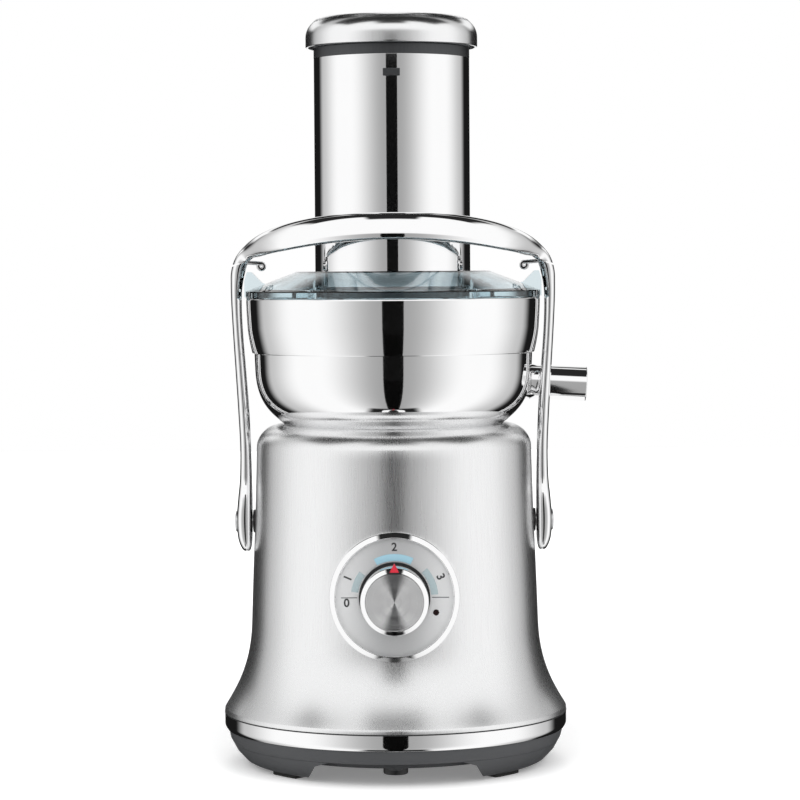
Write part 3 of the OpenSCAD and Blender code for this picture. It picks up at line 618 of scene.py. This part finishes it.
# ---------------------------------------------------------------- food pusher
# The pusher is a dark plastic beaker that fills the chute, closed by a domed satin metal cap.
show(refined("pusher_tube", 0.4), grey, "pusher_tube")
satin_cap = Look("satin_cap", {"Metallic": 1.0})
fine = satin_cap.noise(1700, (1, 1, 0.05), 3.0)
satin_cap.vary({"Base Color": satin_cap.colour(fine, (0.88, 0.882, 0.886, 1), (0.96, 0.962, 0.966, 1)),
                "Roughness": 0.17 + fine * 0.07})
cap_low, cap_top = 427.8, 447.0
side = rounded([(49.7, cap_low), (51.3, cap_low), (51.3, cap_top - 8), (44, cap_top - 1.4), (0, cap_top - 0.02),
                (0, cap_top - 1.6), (41, cap_top - 3.2), (49.7, cap_top - 10)],
               [0.3, 0.8, 5.5, 3.4, 0, 0, 3, 4], 9)
show(skin("pusher_top", lathe(side, steps=256), smooth=40), satin_cap, "pusher_cap")


# ---------------------------------------------------------------- filter basket
# Inside the bowl spins a filter basket: a hub and floor, a cone of perforated steel, a rim, and the
# cutting disc with its rows of small teeth.
satin_steel = Look("satin_steel", {"Metallic": 1.0})
fine = satin_steel.noise(1500, detail=3.0)
satin_steel.vary({"Base Color": satin_steel.colour(fine, (0.68, 0.685, 0.69, 1), (0.8, 0.805, 0.81, 1)),
                  "Roughness": 0.24 + fine * 0.1})
for node in ("basket_base", "basket_rim", "cutting_disc"):
    show(refined(node, 0.15), satin_steel, node)

mesh_steel = Look("steel_mesh", {"Metallic": 1.0, "Roughness": 0.28})
x, y, z = mesh_steel.split(mesh_steel.place)
turn = x.math("ARCTAN2", y, x) * (180 / math.pi)
row = z * 900
odd = row.math("FLOOR", row).math("MODULO", row.math("FLOOR", row), 2.0)
across = (turn + odd * 0.5).math("FRACT", turn + odd * 0.5) - 0.5
down = row.math("FRACT", row) - 0.5
spot = (across * across + down * down).math("SQRT", across * across + down * down)
mesh_steel.vary({"Alpha": spot.step(0.28, 0.32),
                 "Base Color": mesh_steel.colour(spot, (0.5, 0.5, 0.5, 1), (0.86, 0.86, 0.865, 1))})
cone = np.array([(51.2, 228), (52, 228), (74.8, 268), (74.0, 268)])
show(skin("filter_cone", lathe(cone, steps=180)), mesh_steel, "basket_mesh")


# ---------------------------------------------------------------- locking arm
# One polished bar runs up from a paddle at each pivot, leans out, and turns over into a broad bow
# in front of the chute. Rolled hooks inside its shoulders press on the lid's ears.
def smooth_path(stations, steps):
    """Passes a smooth curve through rows of numbers, with steps points between two rows.

    Each stretch is the cubic whose slope at a row is half the difference of that row's neighbours."""
    rows = np.concatenate([stations[:1], stations, stations[-1:]])
    a, b, c, d = rows[:-3], rows[1:-2], rows[2:-1], rows[3:]
    t = np.linspace(0, 1, steps, endpoint=False)[:, None, None]
    curve = 0.5 * (2 * b + (c - a) * t + (2 * a - 5 * b + 4 * c - d) * t * t + (3 * b - a - 3 * c + d) * t ** 3)
    return np.concatenate([curve.transpose(1, 0, 2).reshape(-1, stations.shape[1]), stations[-1:]])


# Each row holds the bar's outer edge (across, up), its inner edge, half its depth, how far it
# follows the bow's curve in plan, and the squareness of its section.
leg = np.array([
    [88.9, 126.6, 88.1, 126.6, 0.8, 0, 2.2], [91.6, 128.4, 86.4, 128.2, 5.8, 0, 2.4],
    [94.0, 135.2, 85.4, 134.0, 9.8, 0, 2.8], [94.7, 146.5, 85.2, 146.0, 11.0, 0, 3.0],
    [93.8, 159.0, 85.2, 159.0, 9.8, 0, 2.8], [92.7, 171.0, 85.4, 172.0, 7.4, 0, 2.5],
    [92.4, 190.0, 85.9, 191.0, 6.1, 0, 2.3], [93.4, 212.0, 86.8, 213.0, 6.0, 0, 2.2],
    [94.8, 236.0, 88.4, 236.0, 6.0, 0, 2.2], [96.1, 258.0, 90.0, 258.0, 6.0, 0, 2.2],
    [97.0, 276.0, 90.6, 275.0, 6.0, 0, 2.2], [97.2, 287.0, 90.0, 287.0, 6.2, 0, 2.3],
    [96.9, 294.6, 87.0, 299.0, 7.0, 0.12, 2.5]])
turns = np.radians([14, 22, 31, 40, 50, 60, 70, 80, 90])
out_x, out_z = 97.2 * np.maximum(np.cos(turns), 0) ** 0.8, 289 + 39.7 * np.sin(turns) ** 0.8
in_x = 86.1 * (out_x / 97.2) ** 1.35
in_z = 301.8 + 11 * (1 - (in_x / 86.1) ** 2)
bow = np.stack([out_x, out_z, in_x, in_z, [8.2, 9.6, 9.8, 8.9, 7.8, 7.0, 6.5, 6.1, 6.0],
                [0.35, 0.66, 0.9, 1, 1, 1, 1, 1, 1], [2.7, 2.9, 3.1, 3.3, 3.4, 3.5, 3.5, 3.5, 3.5]], axis=1)
half_arm = np.concatenate([leg, bow])
other = half_arm[-2::-1] * np.array([-1, 1, -1, 1, 1, 1, 1])
path = smooth_path(np.concatenate([half_arm, other]), 12)
w = np.linspace(0, 2 * np.pi, 40, endpoint=False)
power = 2 / path[:, 6:7]
inward = np.sign(np.cos(w)) * np.abs(np.cos(w)) ** power
forward = np.sign(np.sin(w)) * np.abs(np.sin(w)) ** power
across = (path[:, 0:1] + path[:, 2:3]) / 2 + (path[:, 0:1] - path[:, 2:3]) / 2 * inward
upward = (path[:, 1:2] + path[:, 3:4]) / 2 + (path[:, 1:2] - path[:, 3:4]) / 2 * inward
plan = 36.8 - np.sqrt(96.8 ** 2 - np.clip(np.abs(across), 0, 95) ** 2)
plan = (plan - np.sqrt(plan ** 2 + 16)) / 2
deep = path[:, 5:6] * (plan + 0.3 * (upward - (path[:, 1:2] + path[:, 3:4]) / 2)) - path[:, 4:5] * forward
arm = np.stack([across, deep, upward], axis=2)
seam = 12 * len(leg) - 6
total = len(arm)
show(skin("arm_bow_bar", arm[seam + 1:total - seam - 1][::-1], ends=True, smooth=50), chrome, "arm_bow")
show(skin("arm_leg_r", arm[:seam][::-1], ends=True, smooth=50), chrome, "arm_leg_right")
show(skin("arm_leg_l", arm[total - seam:][::-1], ends=True, smooth=50), chrome, "arm_leg_left")


def to_pivot(grid, side):
    """Lays a turned grid on the pivots' axis: what was up now points to that side."""
    return np.stack([grid[:, :, 2] * side, grid[:, :, 0] * side, grid[:, :, 1] + pivot_z], axis=2)


steel = Look("plain_steel", {"Metallic": 1.0})
fine = steel.noise(900, detail=3.0)
steel.vary({"Base Color": steel.colour(fine, (0.55, 0.555, 0.56, 1), (0.72, 0.725, 0.73, 1)),
            "Roughness": 0.25 + fine * 0.15})
for name, side, start in (("left", -1, 74), ("right", 1, 66)):
    pin = rounded([(0, start), (4, start), (4, 86.5), (0, 86.5)], [0, 0.5, 0.2, 0], 4)
    grid = to_pivot(lathe(pin, steps=64), side)
    add(skin("arm_pin_" + name, grid), steel, "locking_arm")
    cap = rounded([(0, 93), (6.4, 93), (6.4, 95.1), (4.6, 95.5), (0, 95.5)], [0, 0.1, 0.6, 0.6, 0], 5)
    grid = to_pivot(lathe(cap, steps=96), side)
    add(skin("pivot_cap_" + name, grid), satin_steel, "locking_arm")
    # A hook is a strip that runs in from the leg and rolls under at its end.
    s = np.linspace(0, 1, 60)
    roll = np.clip((s - 0.45) / 0.55, 0, 1) * np.radians(330)
    bend = np.stack([np.where(s < 0.45, 91.5 - (91.5 - 78.6) * s / 0.45, 78.6 - 1.7 * np.sin(roll)),
                     np.where(s < 0.45, 300.6 - 0.9 * s / 0.45, 298.0 + 1.7 * np.cos(roll))], axis=1)
    tangent = np.gradient(bend, axis=0)
    normal = np.stack([-tangent[:, 1], tangent[:, 0]], axis=1) / np.linalg.norm(tangent, axis=1, keepdims=True)
    thick = 1.2 * np.clip((1 - s) * 12, 0.3, 1)[:, None]
    edge = np.array([(-1, -5), (-1, 5), (1, 5), (1, -5)])
    corners = rounded(edge * np.array([0.7, 1]), 0.45, 4)
    points = bend[:, None, :] + normal[:, None, :] * (corners[:, 0] * thick / 0.7)[:, :, None]
    width = np.broadcast_to(corners[:, 1] * side, points.shape[:2])
    hook = np.stack([points[:, :, 0] * side, width, points[:, :, 1]], axis=2)
    made = skin("arm_hook_" + name, hook, ends=True, smooth=45)
    if side < 0:
        show(made, chrome, "arm_catches")
    else:
        add(made, chrome, "locking_arm")


# ---------------------------------------------------------------- pulp container
# A tall dark plastic bin hugs the back of the machine and slides out from under the lid's hood.
bin_plastic = Look("container_plastic", {"Specular IOR Level": 0.5})
grain = bin_plastic.noise(2200, detail=3.0)
cloudy = bin_plastic.noise(12)
bin_plastic.vary({"Base Color": bin_plastic.colour(cloudy, (0.085, 0.09, 0.095, 1), (0.11, 0.115, 0.12, 1)),
                  "Roughness": 0.3 + grain * 0.12})
bin_plastic.bump(grain, 0.00006, 0.3)
show(refined("pulp_container", 0.7), bin_plastic, "pulp_container")
for number in range(6):
    level = 196 + 7 * number
    rib = rounded([(-27, level - 1.3), (27, level - 1.3), (27, level + 1.3), (-27, level + 1.3)], 1.29, 5)
    low = np.array([[(x, 211.0, z) for x, z in rib], [(x, 212.3, z) for x, z in rib]])
    top = (rib - np.array([0, level])) * np.array([0.975, 0.5]) + np.array([0, level])
    rib = np.concatenate([low, [[(x, 212.9, z) for x, z in top]]])[::-1]
    add(skin("grip_rib_%d" % number, rib, ends=True, smooth=60), bin_plastic, "pulp_bin")


# ---------------------------------------------------------------- motor and controls
# Inside the housing: the deck and seal, the motor with its brackets, coils and brushes, the spinning
# armature and fan, the circuit board, the filter, and the dial's and the arm's switches.
cast = Look("cast_bracket", {"Metallic": 0.9})
pits = cast.noise(1100, detail=4.0)
cast.vary({"Base Color": cast.colour(pits, (0.42, 0.43, 0.44, 1), (0.56, 0.57, 0.58, 1)),
           "Roughness": 0.42 + pits * 0.2})
cast.bump(pits, 0.00012, 0.5)

core = Look("core_steel", {"Metallic": 0.8})
x, y, z = core.split(core.place)
sheet = (z * 2000).math("FRACT", z * 2000).step(0.1, 0.3)
core.vary({"Base Color": core.colour(sheet, (0.06, 0.06, 0.065, 1), (0.30, 0.31, 0.32, 1)),
           "Roughness": 0.5 - sheet * 0.15})
core.bump(sheet, 0.00008, 0.5)

copper = Look("copper_wire", {"Metallic": 1.0})
x, y, z = copper.split(copper.place)
wires = ((x + y + z) * 1300).math("SINE", (x + y + z) * 1300) * 0.5 + 0.5
copper.vary({"Base Color": copper.colour(wires, (0.30, 0.11, 0.04, 1), (0.80, 0.40, 0.20, 1)),
             "Roughness": 0.42 - wires * 0.15})
copper.bump(wires, 0.0003, 0.6)

brass = Look("brass", {"Metallic": 1.0})
fine = brass.noise(1300, detail=3.0)
brass.vary({"Base Color": brass.colour(fine, (0.62, 0.45, 0.18, 1), (0.78, 0.60, 0.28, 1)),
            "Roughness": 0.28 + fine * 0.15})

carbon = Look("carbon", {"Specular IOR Level": 0.3})
fine = carbon.noise(2400, detail=4.0)
carbon.vary({"Base Color": carbon.colour(fine, (0.015, 0.015, 0.016, 1), (0.05, 0.05, 0.052, 1)),
             "Roughness": 0.6 + fine * 0.2})
carbon.bump(fine, 0.0001, 0.4)

board = Look("circuit_board", {"Specular IOR Level": 0.5})
x, y, z = board.split(board.place)
bricks = {"Vector": board.place, "Scale": 260.0, "Mortar Size": 0.03}
track = board.node("TexBrick", {"offset": 0.5}, bricks)["Fac"]
pads = board.noise(420, detail=0.0)
ground = board.colour(pads.step(0.6, 0.64), (0.012, 0.10, 0.04, 1), (0.55, 0.55, 0.5, 1))
board.vary({"Base Color": board.colour(track, ground, (0.03, 0.22, 0.09, 1)), "Roughness": 0.35 + pads * 0.2})

case = Look("filter_case", {"Specular IOR Level": 0.45})
fine = case.noise(1500, detail=3.0)
case.vary({"Base Color": case.colour(fine, (0.55, 0.42, 0.10, 1), (0.68, 0.53, 0.15, 1)),
           "Roughness": 0.4 + fine * 0.15})
case.bump(fine, 0.00005, 0.3)

inside = {"cast_bracket": cast, "core_steel": core, "copper_wire": copper, "brass": brass, "carbon": carbon,
          "circuit_board": board, "filter_case": case, "bearing_steel": steel, "screw_steel": steel,
          "black_plastic": black, "grey_plastic": grey, "foot_rubber": rubber}
for node in ("top_deck", "shaft_seal", "base_screws", "motor_upper_bracket", "motor_lower_bracket",
             "motor_mounts", "motor_screws", "stator_core", "field_coils", "brush_holders", "carbon_brushes",
             "upper_bearing", "lower_bearing", "control_board", "mains_filter", "speed_encoder",
             "dial_housing", "interlock_switch", "interlock_cam", "interlock_plunger", "motor_shaft",
             "armature_core", "armature_windings", "commutator", "cooling_fan", "drive_coupling",
             "dial_shaft"):
    dress(inside[slots[node]], node)
